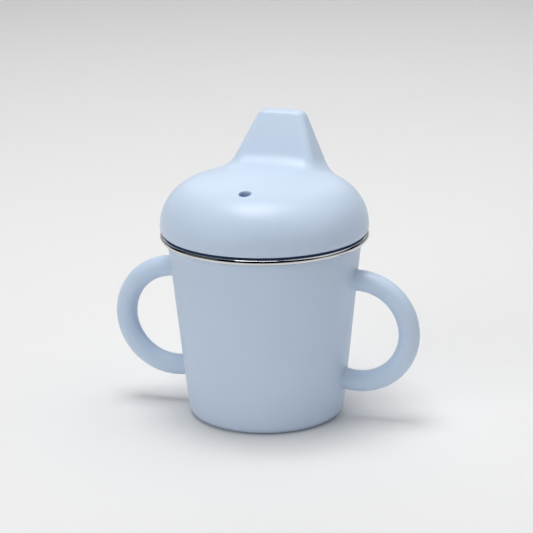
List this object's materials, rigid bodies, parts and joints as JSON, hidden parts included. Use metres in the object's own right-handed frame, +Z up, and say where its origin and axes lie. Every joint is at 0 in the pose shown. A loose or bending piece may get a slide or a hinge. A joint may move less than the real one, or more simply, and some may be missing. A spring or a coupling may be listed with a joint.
{
  "type": "sippy cup",
  "caption": "Toddler's sippy cup: steel cup with a rolled rim in a silicone sleeve with two ring handles, and a domed silicone lid with a flattened drinking spout and an air vent.",
  "frame": {"origin": "on the table under the middle of the cup", "axes": "+Z up; the two handles lie along X; the spout stands towards +Y and the air vent towards -Y"},
  "size_m": [0.1224, 0.08, 0.1142],
  "materials": {
    "sleeve_silicone": "matt silicone",
    "cup_steel": "satin, with a smooth rolled rim",
    "lid_silicone": "matt silicone"
  },
  "bodies": {
    "sleeve": {"sleeve": "sleeve_silicone"},
    "steel_cup": {"steel_cup": "cup_steel"},
    "lid": {"lid": "lid_silicone"}
  },
  "joints": [
    {"name": "cup_lift", "type": "slide", "parent": "sleeve", "child": "steel_cup", "axis": [0, 0, 1], "range_m": [0, 0.085]},
    {"name": "lid_lift", "type": "slide", "parent": "steel_cup", "child": "lid", "axis": [0, 0, 1], "range_m": [0, 0.06]}
  ]
}
